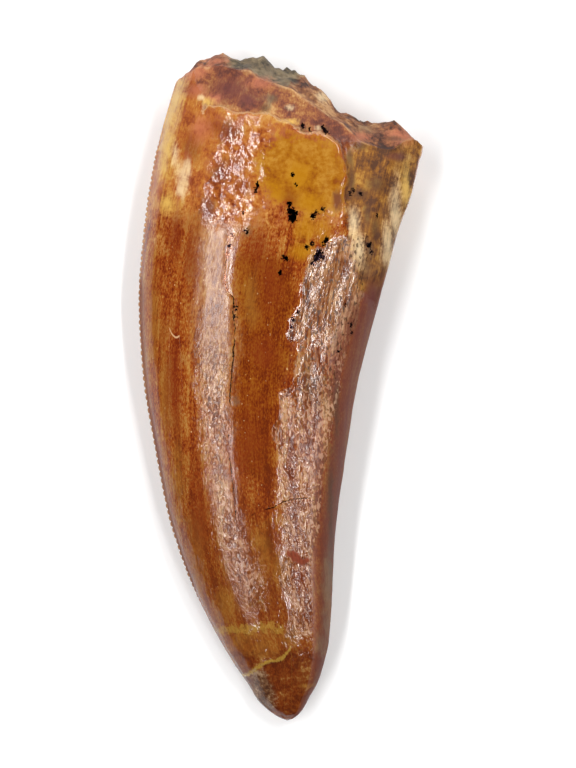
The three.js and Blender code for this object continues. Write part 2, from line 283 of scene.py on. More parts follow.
# Black mineral spots of the upper side: x, y and radius.
BLACK_SPOTS = np.array([
    [0.9, 17.2, 0.22], [1, 16.5, 0.3], [1.2, 15.9, 0.36], [1.4, 16.3, 0.26], [3.1, 16.1, 0.22],
    [3.4, 16.4, 0.16], [4, 16.7, 0.18], [4.4, 13.9, 0.2], [4.1, 13.6, 0.16], [3.7, 12.6, 0.32],
    [3.4, 12.2, 0.28], [4, 12.3, 0.2], [3.1, 11.7, 0.2], [2.5, 13.2, 0.16], [3, 13.5, 0.16],
    [0.4, 12.3, 0.2], [0.7, 12, 0.16], [0, 10.8, 0.16], [-3.1, 14.7, 0.16], [-4.4, 14.3, 0.16],
    [-4.7, 13.3, 0.18], [-2.1, 19, 0.2], [-2.3, 18.5, 0.16], [-3.4, 16.4, 0.14], [1.2, 19.9, 0.14],
    [1.5, 19, 0.12], [8.4, 13.4, 0.22], [8.6, 12.8, 0.16], [9.4, 16.1, 0.16], [6.9, 18.5, 0.16],
    [7.6, 18.2, 0.16], [6.6, 18.2, 0.14], [2.1, 24.5, 0.16], [2.8, 24.1, 0.14], [4, 24.3, 0.16],
    [4.4, 23.9, 0.18], [1.2, 6.5, 0.18], [1.1, 5.7, 0.14], [1.7, 7.2, 0.14], [6.7, 6, 0.14],
    [6.7, 5.2, 0.12], [6.1, 7.8, 0.12], [5.5, 3.4, 0.12], [-4.9, 12.6, 0.14], [-4.1, 7.5, 0.14],
    [-4.2, 6.7, 0.14],
])
SPOT_SQUASH = 0.8

# Saw edges: spacing of the denticles, their reach off the edge line and inwards, and each run in Y.
PITCH_NECK = 0.5
PITCH_MIDDLE = 0.62
PITCH_TIP = 0.52
PITCH_NECK_Y = 18.0
PITCH_TIP_Y = (-8, -22)
DENTICLE_REACH = 0.07
DENTICLE_WIDTH = (0.08, 0.4)
DENTICLE_SIZES = (0.7, 1.1)
FRONT_SAW = (24.5, -21.5)
BACK_SAW = (14, -20)
SAW_FADE = (2.5, 3.5)
ROWS_PER_DENTICLE = 4
DENTICLE_PROFILE = np.array([0.0, 0.85, 1.0, 0.85])

# Studio: each softbox's lean about X and Y in degrees, move along Y, power, width and length in metres.
SOFTBOXES = {
    "left_softbox": ((0, -26), -0.05, 2.55, 0.024, 0.64),
    "right_low_softbox": ((0, 22), -0.185, 0.95, 0.02, 0.3),
    "right_high_softbox": ((0, 22), 0.27, 1.7, 0.04, 0.36),
    "neck_softbox": ((-60, 0), 0.0, 1.0, 0.4, 0.3),
}
SOFTBOX_DISTANCE = 0.56
WORLD_LIGHT = 0.09
STUDIO_LIGHT = 1.2

# Camera straight above: its distance in metres, its aim and view's height in millimetres.
CAMERA_DISTANCE = 0.3
CAMERA_AIM = (0.76, 0.43, 5.0)
VIEW_HEIGHT = 72.96

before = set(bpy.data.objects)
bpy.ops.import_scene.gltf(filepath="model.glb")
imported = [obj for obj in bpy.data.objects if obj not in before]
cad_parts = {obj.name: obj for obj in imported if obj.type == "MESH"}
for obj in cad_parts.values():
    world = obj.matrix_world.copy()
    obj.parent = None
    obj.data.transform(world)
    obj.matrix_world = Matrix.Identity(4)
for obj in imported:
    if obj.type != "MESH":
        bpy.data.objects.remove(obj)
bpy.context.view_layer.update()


def smooth(low, high, value):
    """0 below low and 1 above high, with a smooth rise between."""
    share = np.clip((value - low) / (high - low), 0.0, 1.0)
    return share * share * (3.0 - 2.0 * share)


def between(start, full, fading, end, value):
    """0 outside start and end and 1 from full to fading, with smooth changes."""
    return smooth(start, full, value) * (1.0 - smooth(fading, end, value))


def through_points(points, share):
    """Places on the smooth curve through points, share 0 being the first and 1 the last."""
    padded = np.vstack([2 * points[0] - points[1], points, 2 * points[-1] - points[-2]])
    place = np.clip(share, 0.0, 1.0) * (len(points) - 1)
    first = np.minimum(place.astype(int), len(points) - 2)
    t = (place - first)[..., None]
    a, b, c, d = (padded[first + i] for i in range(4))
    return 0.5 * (2 * b + (c - a) * t + (2 * a - 5 * b + 4 * c - d) * t**2 + (3 * b - 3 * c + d - a) * t**3)


def length_along(points):
    """Length of a chain of points up to each of them."""
    return np.concatenate([[0.0], np.cumsum(np.linalg.norm(np.diff(points, axis=0), axis=1))])


def lattice(places, seed):
    """Smooth seeded noise between -1 and 1 with about one lump per unit."""
    table = np.random.default_rng(seed).uniform(-1.0, 1.0, (NOISE_CELLS,) * 3)
    cell = np.floor(places).astype(int)
    t = places - cell
    t = t * t * (3.0 - 2.0 * t)
    total = np.zeros(places.shape[:-1])
    for corner in np.ndindex(2, 2, 2):
        weight = np.prod(np.where(np.array(corner) == 1, t, 1.0 - t), axis=-1)
        i, j, k = np.moveaxis((cell + corner) % NOISE_CELLS, -1, 0)
        total += weight * table[i, j, k]
    return total


def lumps(places, size, seed, octaves=3):
    """Noise with lumps of the given size (one number or one per axis) and finer ones on them."""
    scaled = places / np.asarray(size, float)
    return sum(lattice(scaled * 2.0**i + 7.3 * i, seed + i) * 0.5**i for i in range(octaves))


def inside(outline, x, y):
    """Distance from places to an outline, positive inside it."""
    nearest = np.full(x.shape, np.inf)
    within = np.zeros(x.shape, bool)
    for (ax, ay), (bx, by) in zip(outline, outline[1:] + outline[:1]):
        length = (bx - ax) ** 2 + (by - ay) ** 2
        share = np.clip(((x - ax) * (bx - ax) + (y - ay) * (by - ay)) / length, 0.0, 1.0)
        nearest = np.minimum(nearest, np.hypot(x - ax - share * (bx - ax), y - ay - share * (by - ay)))
        crossing = (ay > y) != (by > y)
        rise = by - ay if by != ay else 1.0
        within ^= crossing & (x < (bx - ax) * (y - ay) / rise + ax)
    return np.where(within, nearest, -nearest)


def crown(along, section):
    """Places on the smooth crown: along is 0 past the neck and 1 at the tip."""
    station = through_points(STATIONS, along)
    across = section[..., 0:1]
    flat = station[..., 0:2] * (1 - across) + station[..., 2:4] * across
    height = station[..., 5] + station[..., 4] / 2 * (1 + section[..., 1]) - BELLY_SUNK
    return np.concatenate([flat, height[..., None]], axis=-1)


def break_at(x, z):
    """Y of the break: it juts out below the lip and falls away near the belly."""
    depth = smooth(0.0, 1.0, (LIP_HEIGHT - z) / (LIP_HEIGHT - DEEP_HEIGHT))
    lip = np.interp(x, BREAK_LIP[:, 0], BREAK_LIP[:, 1])
    deep = np.interp(x, BREAK_DEEP[:, 0], BREAK_DEEP[:, 1])
    drop = FAR_DROP * smooth(0.0, DEEP_HEIGHT, DEEP_HEIGHT - z)
    place = np.stack([x, np.zeros_like(x), z], axis=-1)
    rough = BREAK_LUMP * lumps(place, 2.3, 11, 2) + BREAK_GRAIN * lumps(place, 0.7, 21, 3)
    return lip + (deep - lip) * depth - drop + rough * (0.25 + 0.75 * depth)


def column_shares(side, spacing, edge_spacing):
    """Shares along one side of the section, closer together next to the two saw edges."""
    fine = np.linspace(0.0, 1.0, SECTION_STEPS)
    length = length_along(through_points(side, fine) * [MID_CHORD, MID_HALF])
    spots = [0.0]
    while spots[-1] < length[-1]:
        to_edge = min(spots[-1], length[-1] - spots[-1])
        spots.append(spots[-1] + (edge_spacing if to_edge < EDGE_REACH else spacing))
    spots = np.array(spots[:-1])
    if length[-1] - spots[-1] < LEAST_GAP * edge_spacing:
        spots = spots[:-1]
    return np.interp(spots, length, fine), spots, length[-1]


def section_columns():
    """The closed section: its points, how far round, how far from each saw edge and whether on top."""
    upper, upper_run, upper_length = column_shares(UPPER_SIDE, *UPPER_SPACING)
    belly, belly_run, belly_length = column_shares(BELLY_SIDE, *BELLY_SPACING)
    points = np.vstack([through_points(UPPER_SIDE, upper), through_points(BELLY_SIDE, belly)])
    run = np.concatenate([upper_run, upper_length + belly_run])
    around = upper_length + belly_length
    to_front = np.minimum(run, around - run)
    to_back = np.abs(run - upper_length)
    on_top = np.concatenate([np.ones(len(upper)), np.zeros(len(belly))])
    return points, run, to_front, to_back, on_top


def pitch_at(y):
    if y > 0:
        return PITCH_MIDDLE + (PITCH_NECK - PITCH_MIDDLE) * min(y / PITCH_NECK_Y, 1.0)
    return PITCH_MIDDLE + (PITCH_TIP - PITCH_MIDDLE) * float(smooth(*PITCH_TIP_Y, y))


def rim_along(section):
    """For each column, how far along the crown the break cuts it off."""
    low = np.zeros(len(section))
    high = np.full(len(section), BREAK_WITHIN)
    for _ in range(RIM_HALVINGS):
        middle = (low + high) / 2
        place = crown(middle, section)
        beyond = place[:, 1] > break_at(place[:, 0], place[:, 2])
        low = np.where(beyond, middle, low)
        high = np.where(beyond, high, middle)
    return (low + high) / 2


def row_spots(start):
    """Rows along the front edge, a fixed number to each denticle, from the rim to near the tip."""
    fine = np.linspace(0.0, 1.0, EDGE_STEPS)
    edge = through_points(STATIONS, fine)[:, 0:2]
    length = length_along(edge)
    spots = [np.interp(start, fine, length)]
    while spots[-1] < length[-1]:
        y = np.interp(spots[-1], length, edge[:, 1])
        spots.append(spots[-1] + pitch_at(y) / ROWS_PER_DENTICLE)
    return np.interp(spots[:-1], length, fine), np.array(spots[:-1])


def offset_along(chain, x, y):
    """How far above a chain of points that runs in X a place is."""
    return y - np.interp(x, chain[:, 0], chain[:, 1])


def dabs_of(name, places, seen):
    """1 in the middle of the nearest dab, 0 at its border and falling outside it."""
    x, y = places[..., 0], places[..., 1]
    reach = [np.hypot((x - dx) / rx, (y - dy) / ry) for dx, dy, rx, ry in DABS[name]]
    return np.where(seen, np.maximum(1.0 - np.min(reach, axis=0), -2.0), -2.0)


def zones_at(places):
    """How far inside each ragged zone a place is, and inside the nearest black spot."""
    x, y = places[..., 0], places[..., 1]
    jag_x = x + JAG_X * lumps(places, [0.9, 1.8, 3.0], 31)
    jag_y = y + JAG_Y * lumps(places, [1.1, 1.4, 3.0], 41)
    zones = {name: inside(outline, jag_x, jag_y) for name, outline in ZONES.items()}
    spots = [radius - np.hypot(x - sx, (y - sy) * SPOT_SQUASH) for sx, sy, radius in BLACK_SPOTS]
    zones["spots"] = np.max(spots, axis=0)
    return zones


def lines_at(places):
    """For each line, how far off it a place is and how much of the line is there."""
    x, y = places[..., 0], places[..., 1]
    crack = x - np.interp(-y, -LONG_CRACK[:, 1], LONG_CRACK[:, 0])
    return {
        "crack": (crack, between(*LONG_CRACK_Y, y)),
        "cross": (offset_along(CROSS_CRACK, x, y), between(*CROSS_CRACK_X, x)),
        "upper_band": (offset_along(UPPER_BAND, x, y), x < UPPER_BAND_TO_X),
        "lower_band": (offset_along(LOWER_BAND, x, y), x < LOWER_BAND_TO_X),
        "thread": (offset_along(THREAD, x, y), (x > THREAD[0, 0]) & (x < THREAD[-1, 0])),
    }


def tip_relief(places, lines):
    """The step down to the chipped tip, and the low ridge of the healed line at it."""
    x = places[..., 0]
    above = lines["lower_band"][0]
    step = CHIP_DEPTH * smooth(*CHIP_STEP, -above) * (1.0 - smooth(*CHIP_TO_X, x))
    ridge = 1.0 - smooth(*HEALED_WIDTH, np.abs(above))
    return HEALED_RISE * ridge * (1.0 - smooth(*HEALED_TO_X, x)) - step


def neck_relief(places, zones):
    """Lumps of the neck, nearly flat on the amber patch and the strip."""
    neck = smooth(*NECK_Y, places[..., 1])
    flat = np.maximum(smooth(*AMBER_EDGE, zones["amber"]), smooth(*STRIP_EDGE, zones["strip"]))
    height = neck * NECK_LUMP * lumps(places, 1.5, 51, 3)
    height += smooth(*CRUST_EDGE, zones["crust"]) * CRUST_LUMP * lumps(places, 0.9, 55, 3)
    height += smooth(*CAP_EDGE, zones["spall"]) * neck * CAP_LUMP * lumps(places, 0.75, 57, 3)
    return height * (1.0 - 0.9 * flat)


def fine_relief(flow, zones):
    """Fibres, deepest on bare dentine, and low waves off the clear middle."""
    bare = smooth(*BARE_EDGE, np.maximum(zones["flake"], zones["spall"]))
    fibres = FIBRE_DEPTH * lumps(flow, [0.5, 3.0, 1.0], 61, 3)
    fibres *= (0.3 + 0.7 * bare) * (1.0 - 0.8 * smooth(*STRIP_EDGE, zones["strip"]))
    waves = WAVE_HEIGHT * lumps(flow, [0.6, 1.0, 1.0], 71, 2)
    return fibres + waves * (1.0 - 0.85 * smooth(*CLEAR_EDGE, zones["clear"]))


def grooves(lines):
    """Depth of the two cracks."""
    cracks = (lines["crack"], lines["cross"])
    return CRACK_DEPTH * sum(there * (1.0 - smooth(*CRACK_WIDTH, np.abs(off))) for off, there in cracks)


def hidden_relief(places):
    """Low waves of the side that faces down, with a lumpy neck."""
    neck = smooth(*NECK_Y, places[..., 1])
    waves = HIDDEN_WAVE * lumps(places, [1.6, 3.0, 2.0], 81, 3)
    return waves + neck * HIDDEN_NECK_LUMP * lumps(places, 1.5, 51, 4)


class Tooth:
    """The crown and its break as one closed grid, with the fields that its material reads."""

    def __init__(self):
        self.section, self.run, self.to_front, self.to_back, self.on_top = section_columns()
        rim = rim_along(self.section)
        rows, self.lengths = row_spots(rim[0])
        settled = np.searchsorted(rows, ROWS_EVEN_FROM)
        share = np.clip((rows - rows[0]) / (rows[settled] - rows[0]), 0.0, 1.0)
        eased = rim + share[:, None] * (rows[settled] - rim)
        along = np.where(share[:, None] < 1.0, eased, rows[:, None])
        self.smooth_crown = crown(along, np.broadcast_to(self.section, along.shape + (2,)))

    @staticmethod
    def normals(places):
        down = np.gradient(places, axis=0)
        around = (np.roll(places, -1, axis=1) - np.roll(places, 1, axis=1)) / 2
        normal = np.cross(down, around)
        return normal / np.maximum(np.linalg.norm(normal, axis=-1, keepdims=True), 1e-9)

    def shape(self):
        """Moves the smooth crown out to its skin and fills in the fields."""
        places = self.smooth_crown
        normal = self.normals(places)
        top = smooth(*UPWARD, normal[..., 2]) * self.on_top
        flow = self.flow_along(places)
        zones = zones_at(places)
        lines = lines_at(places)
        height = self.lost_skin(places, zones) + tip_relief(places, lines) + neck_relief(places, zones)
        height += fine_relief(flow, zones) - grooves(lines)
        height = top * height + (1.0 - top) * hidden_relief(places)
        ease = smooth(*EDGE_EASE, self.to_front) * smooth(*EDGE_EASE, self.to_back)
        share = EDGE_SHARE + (1.0 - EDGE_SHARE) * ease
        self.places, saw, bead = self.denticles(places + normal * (height * share)[..., None])
        self.fields = {"flow": flow, "saw": saw, "bead": bead}
        self.fill_fields(top > SEEN, zones, lines)

    def lost_skin(self, places, zones):
        """Steps down where skin is lost, with the island left standing."""
        x, y = places[..., 0], places[..., 1]
        depth = SPALL_DEPTH * smooth(*SPALL_X, x)
        depth += STRIP_SLOPE * (np.clip(x, *STRIP_X) - STRIP_X[0])
        height = -depth * smooth(*SPALL_EDGE, zones["spall"]) * smooth(*SPALL_Y, y)
        ragged = 0.3 + 0.9 * np.clip(0.5 + lumps(places, 2.2, 35, 2), 0.0, 1.0)
        ragged *= 0.2 + 0.8 * smooth(*FLAKE_DEEPER_Y, y)
        flaked = smooth(*FLAKE_EDGE, zones["flake"]) * (1.0 - smooth(*FLAKE_BACK, self.section[:, 0]))
        height -= FLAKE_DEPTH * ragged * flaked
        sag = between(*SAG_Y, y) * smooth(*SAG_EDGE, zones["flake"])
        height -= SAG_SLOPE * sag * (x - SAG_MIDDLE)
        return height + ISLAND_RISE * smooth(*ISLAND_EDGE, zones["island"])

    def fill_fields(self, seen, zones, lines):
        y = self.smooth_crown[..., 1]
        for name, (offset, there) in lines.items():
            self.fields[name] = np.where(seen & (there > SEEN), offset, AWAY)
        for name, value in zones.items():
            self.fields[name] = np.where(seen, value, -AWAY)
        beneath = (1.0 - self.on_top) * smooth(*FLANK_BENEATH, self.to_back)
        flank = np.minimum((self.section[:, 0] - FLANK_FROM) * FLANK_RISE, 1.0) - 2.0 * beneath
        self.fields["flank"] = flank - 2.0 * smooth(*FLANK_TO_Y, y)
        rim = np.where(self.on_top > 0.5, 1.0 - self.to_front / FRONT_RIM_WIDTH, -AWAY)
        self.fields["front_rim"] = rim - 2.0 * (1.0 - between(*FRONT_RIM_Y, y))
        self.fields["lip"] = np.broadcast_to((self.lengths - self.lengths[0])[:, None], y.shape)
        for name in DABS:
            self.fields[name] = dabs_of(name, self.places, self.on_top > 0.5)

    def flow_along(self, places):
        """How far round from the middle line and how far down the front edge each place is."""
        chord = np.linalg.norm(np.ptp(places[..., :2], axis=1), axis=1) / MID_CHORD
        half = int(self.on_top.sum()) // 2
        middle = np.interp(0.5, self.section[:half, 0], self.run[:half])
        across = (self.run - middle) * np.minimum(chord, 1.2)[:, None]
        down = np.broadcast_to(self.lengths[:, None], across.shape)
        return np.stack([across, down, np.zeros_like(across)], axis=-1)

    def denticles(self, places):
        """Both saw edges, in step with the rows: the moved places, the gaps that take painted shade and the
        beads that take a painted highlight.
        """
        row = np.arange(len(self.lengths))
        profile = DENTICLE_PROFILE[row % ROWS_PER_DENTICLE]
        size = np.random.default_rng(5).uniform(*DENTICLE_SIZES, len(row) // ROWS_PER_DENTICLE + 2)
        profile = profile * size[row // ROWS_PER_DENTICLE]
        saw = np.zeros(places.shape[:2])
        bead = np.zeros(places.shape[:2])
        for (start, end), to_edge, side in ((FRONT_SAW, self.to_front, 1), (BACK_SAW, self.to_back, -1)):
            column = np.argmin(to_edge)
            edge = places[:, column, :2]
            run = np.gradient(edge, axis=0)
            run /= np.maximum(np.linalg.norm(run, axis=1, keepdims=True), 1e-9)
            outward = np.stack([run[:, 1], -run[:, 0]], axis=1) * side
            y = edge[:, 1]
            fade = smooth(0.0, SAW_FADE[0], start - y) * smooth(0.0, SAW_FADE[1], y - end)
            near = 1.0 - smooth(*DENTICLE_WIDTH, to_edge)
            push = DENTICLE_REACH * (2.0 * profile - 1.0) * fade
            places[..., :2] += outward[:, None, :] * (push[:, None] * near)[..., None]
            saw = np.maximum(saw, (fade * (1.0 - profile))[:, None] * near)
            bead = np.maximum(bead, (fade * profile)[:, None] * near)
        return places, saw, bead

    def broken_neck(self):
        """Rings of the break from the rim inwards, ending in one middle point."""
        rim = self.places[0]
        centre = np.array(BREAK_CENTRE)
        drift = rim[:, 1] - break_at(rim[:, 0], rim[:, 2])
        rings = []
        for ring in range(1, BREAK_RINGS):
            share = (1.0 - ring / BREAK_RINGS) ** RING_CROWDING
            spread = centre + (rim[:, [0, 2]] - centre) * share
            y = break_at(spread[:, 0], spread[:, 1]) + drift * smooth(*RING_BLEND, share)
            rings.append(np.stack([spread[:, 0], y, spread[:, 1]], axis=1))
        middle = np.array([[centre[0], break_at(*centre[:, None])[0], centre[1]]])
        return np.array(rings), middle

    def mesh(self):
        rings, middle = self.broken_neck()
        tip = crown(np.array([1.0]), self.section[:1])
        rows, columns = self.places.shape[:2]
        places = np.vstack([self.places.reshape(-1, 3), rings.reshape(-1, 3), middle, tip])
        places[:, 2] = np.maximum(places[:, 2], 0.0)
        index = np.arange(rows * columns).reshape(rows, columns)
        caps = rows * columns + np.arange(rings.shape[0] * columns).reshape(-1, columns)
        sheet = np.vstack([caps[::-1], index])
        here, there = sheet[:-1], sheet[1:]
        quads = np.stack([here, there, np.roll(there, -1, 1), np.roll(here, -1, 1)], axis=-1).reshape(-1, 4)
        middle_index = len(places) - 2
        tip_index = len(places) - 1
        faces = quads.tolist()
        first, last = sheet[0], sheet[-1]
        for i in range(columns):
            faces.append([middle_index, first[i], first[(i + 1) % columns]])
            faces.append([tip_index, last[(i + 1) % columns], last[i]])
        mesh = bpy.data.meshes.new("tooth")
        mesh.from_pydata((places * MM).tolist(), [], faces)
        mesh.validate()
        self.write_fields(mesh, places, rings, middle)
        mesh.shade_smooth()
        mesh.set_sharp_from_angle(angle=math.radians(SHARP_ANGLE))
        return mesh

    def write_fields(self, mesh, places, rings, middle):
        cap = np.vstack([rings.reshape(-1, 3), middle])
        crown_count = self.places.shape[0] * self.places.shape[1]
        for name, grid in self.fields.items():
            if name == "flow":
                values = np.vstack([grid.reshape(-1, 3), cap[:, [0, 2, 1]], grid[-1:, 0]])
                self.write(mesh, name, values)
                continue
            if name in DABS:
                fill = dabs_of(name, cap, True)
            else:
                away = AWAY if name in LINES else -AWAY
                fill = np.full(len(cap), 0.0 if name in ("saw", "bead") else away)
            self.write(mesh, name, np.concatenate([grid.ravel(), fill, grid[-1, :1]]))
        core = np.full(len(places), -AWAY)
        core[crown_count:-1] = inside(SEDIMENT_CORE, cap[:, 0], cap[:, 2])
        self.write(mesh, "core", core)
        broken = np.zeros(len(places))
        broken[crown_count:-1] = 1.0
        self.write(mesh, "broken", broken)
        self.write(mesh, "place", places)

    @staticmethod
    def write(mesh, name, values):
        if values.ndim == 2:
            layer = mesh.attributes.new(name, "FLOAT_VECTOR", "POINT")
            layer.data.foreach_set("vector", values.astype(np.float32).ravel())
        else:
            layer = mesh.attributes.new(name, "FLOAT", "POINT")
            layer.data.foreach_set("value", values.astype(np.float32))


def colour(red, green, blue):
    """A colour given as it looks in the studio, 0 to 255, as the share of light it sends back."""
    def share(value):
        value /= 255.0
        light = value / 12.92 if value <= 0.04045 else ((value + 0.055) / 1.055) ** 2.4
        return light / STUDIO_LIGHT
    return (share(red), share(green), share(blue), 1.0)


class Paint:
    """Builds a material's nodes a step at a time."""

    def __init__(self, name):
        self.material = bpy.data.materials.new(name)
        self.material.use_nodes = True
        self.tree = self.material.node_tree
        self.shader = self.tree.nodes["Principled BSDF"]

    def node(self, kind, inputs, **settings):
        made = self.tree.nodes.new(kind)
        for name, value in settings.items():
            setattr(made, name, value)
        for slot, value in inputs.items():
            if isinstance(value, bpy.types.NodeSocket):
                self.tree.links.new(value, made.inputs[slot])
            else:
                made.inputs[slot].default_value = value
        return made

    def field(self, name):
        return self.node("ShaderNodeAttribute", {}, attribute_name=name).outputs["Fac"]

    def places(self, name, stretch):
        source = self.node("ShaderNodeAttribute", {}, attribute_name=name).outputs["Vector"]
        return self.node("ShaderNodeVectorMath", {0: source, 1: stretch}, operation="MULTIPLY").outputs[0]

    def grain(self, places, scale, detail, roughness, twist=0.0):
        settings = {"Vector": places, "Scale": scale, "Detail": detail, "Roughness": roughness,
                    "Distortion": twist}
        return self.node("ShaderNodeTexNoise", settings).outputs["Fac"]

    def dots(self, per_mm, radius):
        """1 on small round dots, so many to a millimetre in X, Y and Z, and 0 between them."""
        settings = {"Vector": self.places("place", per_mm), "Scale": 1.0}
        made = self.node("ShaderNodeTexVoronoi", settings, feature="F1")
        return self.without(self.step(made.outputs["Distance"], 0.6 * radius, radius))

    def calc(self, operation, first, second=0.0):
        return self.node("ShaderNodeMath", {0: first, 1: second}, operation=operation).outputs[0]

    def step(self, value, low, high):
        """0 at low and 1 at high, which may be the lower one, with a smooth rise between."""
        settings = {"Value": value, "From Min": low, "From Max": high}
        made = self.node("ShaderNodeMapRange", settings, interpolation_type="SMOOTHSTEP")
        return made.outputs["Result"]

    def times(self, first, second):
        return self.calc("MULTIPLY", first, second)

    def plus(self, first, second):
        return self.calc("ADD", first, second)

    def most(self, first, second):
        return self.calc("MAXIMUM", first, second)

    def without(self, share):
        return self.calc("SUBTRACT", 1.0, share)

    def centred(self, noise):
        return self.calc("SUBTRACT", noise, 0.5)

    def blend(self, share, under, over, strength=1.0):
        if strength != 1.0:
            share = self.times(share, strength)
        made = self.node("ShaderNodeMix", {0: share, 6: under, 7: over}, data_type="RGBA")
        return made.outputs[2]

    def layers(self, skin, *parts):
        """Lays colours over a skin one after another, each with its share and strength."""
        for share, over, strength in parts:
            skin = self.blend(share, skin, over, strength)
        return skin

    def ramp(self, value, stops):
        made = self.node("ShaderNodeValToRGB", {"Fac": value})
        band = made.color_ramp
        for place, *_ in stops[2:]:
            band.elements.new(place)
        for element, (place, *tint) in zip(band.elements, stops):
            element.position = place
            element.color = colour(*tint)
        return made.outputs["Color"]


# Colour and strength of each kind of dab.
TINTS = {
    "olive": (colour(156, 104, 38), 0.5),
    "red": (colour(126, 46, 12), 0.65),
    "plum": (colour(106, 46, 42), 0.8),
    "brick": (colour(200, 116, 82), 0.75),
    "gold": (colour(226, 180, 90), 0.95),
    "yellow": (colour(186, 124, 14), 0.75),
    "cream": (colour(250, 220, 170), 0.75),
    "dark": (colour(70, 40, 18), 0.7),
    "grey": (colour(118, 100, 78), 0.45),
}

# Ramps: each stop's place, then its colour.
ENAMEL = [
    (0.34, 110, 36, 6), (0.43, 142, 57, 12), (0.5, 157, 76, 21),
    (0.57, 168, 97, 35), (0.68, 186, 132, 64),
]
CLEAR_ENAMEL = [(0.34, 104, 36, 4), (0.46, 130, 56, 6), (0.54, 142, 70, 10), (0.66, 156, 92, 22)]
# Worn band: partly worn enamel and partly a painted sheen where the left light makes its highlight.
WORN_ENAMEL_AND_SHEEN = [(0.36, 92, 48, 20), (0.45, 140, 84, 38), (0.52, 168, 114, 60), (0.64, 216, 174, 120)]
NECK = [
    (0.32, 146, 70, 38), (0.42, 174, 94, 44), (0.5, 188, 114, 50),
    (0.58, 198, 132, 60), (0.7, 216, 162, 88),
]
CRUST = [(0.34, 112, 44, 18), (0.44, 158, 78, 26), (0.54, 184, 108, 42), (0.68, 212, 150, 84)]
CAP = [
    (0.34, 82, 34, 24), (0.43, 114, 52, 34), (0.51, 142, 76, 40),
    (0.6, 168, 108, 54), (0.7, 202, 154, 96),
]
BARE = [(0.36, 74, 40, 22), (0.47, 128, 84, 54), (0.56, 166, 122, 88), (0.68, 214, 176, 142)]
STRIP = [(0.36, 84, 44, 0), (0.46, 126, 74, 2), (0.55, 156, 98, 8), (0.66, 194, 140, 46)]
AMBER = [(0.36, 142, 74, 6), (0.5, 170, 106, 12), (0.64, 190, 132, 42)]
TIP = [(0.36, 80, 26, 4), (0.5, 108, 44, 8), (0.62, 122, 62, 20), (0.74, 156, 112, 60)]
CHIP = [(0.36, 70, 46, 30), (0.5, 114, 82, 56), (0.66, 164, 136, 106)]
ROCK = [(0.34, 64, 32, 18), (0.44, 118, 66, 38), (0.54, 160, 102, 58), (0.66, 204, 154, 100)]
SEDIMENT = [(0.36, 50, 42, 30), (0.5, 112, 95, 68), (0.66, 160, 140, 106)]

# Painted shade: the back flank is laid darker where it turns away from the light.
FLANK_PAINTED_SHADE_BROWN = colour(104, 36, 0)
LOW_BROWN = colour(106, 52, 12)
ISLAND_RED = colour(132, 48, 10)
# Painted sheen: a plum tint along the front rim stands in for its reflection of the bright surroundings.
FRONT_RIM_PAINTED_SHEEN = colour(112, 54, 44)
BLACK_MINERAL = colour(14, 8, 12)
# Dark of the cracks and pinholes, and painted shade in the gaps between denticles.
CRACK_DARK_AND_GAP_SHADE = colour(44, 22, 10)
PIT_BROWN = colour(50, 27, 12)
VALLEY_BROWN = colour(84, 38, 12)
# Painted glints: cream on the grain's ridges in the bands, partly worn granules and partly painted
# highlight.
RIDGE_GLINT_AND_WEAR_CREAM = colour(214, 172, 138)
HEALED_YELLOW = colour(180, 142, 58)
DUST = colour(232, 188, 126)
# Painted highlight along the break's lip and the ledge, and the real colour of the pale thread.
EDGE_HIGHLIGHT_AND_THREAD_PALE = colour(232, 186, 136)
ROSY = colour(172, 98, 66)
# Painted highlight on the denticle beads.
BEAD_HIGHLIGHT_TAN = colour(206, 154, 100)

# Places along the tooth, in Y, between which a change of its skin sets in.
NECK_SKIN = (13.5, 18.5)
CAP_SKIN = (22.5, 24)
LOW_SKIN = (-1, -20)
TIP_SKIN = (-24.6, -25.4)
WORN_PALER = (-8, 4)
BARE_PALER = (0.5, 7.5)
DASHED_WORN = (9, -3)
DASHED_MORE = (-6, 2)
GRAINY = (6, 0)
PEBBLED = (0, -14)
# Where along the tooth the painted highlight along the ledge sets in and fades.
LEDGE_FROM = (22, 23.5)
LEDGE_TO = (26.9, 26.3)
WORN_RELIEF = (9, -5)
FLAKE_RELIEF = (3, -4)
PLAIN_RELIEF = (2, -10)
MILKY_FROM = (-4, 4)
MILKY_TO = (16.5, 13.5)

VARNISH_ROUGHNESS = 0.1
VARNISH_IOR = 1.48
BUMP_DEPTH = 0.048


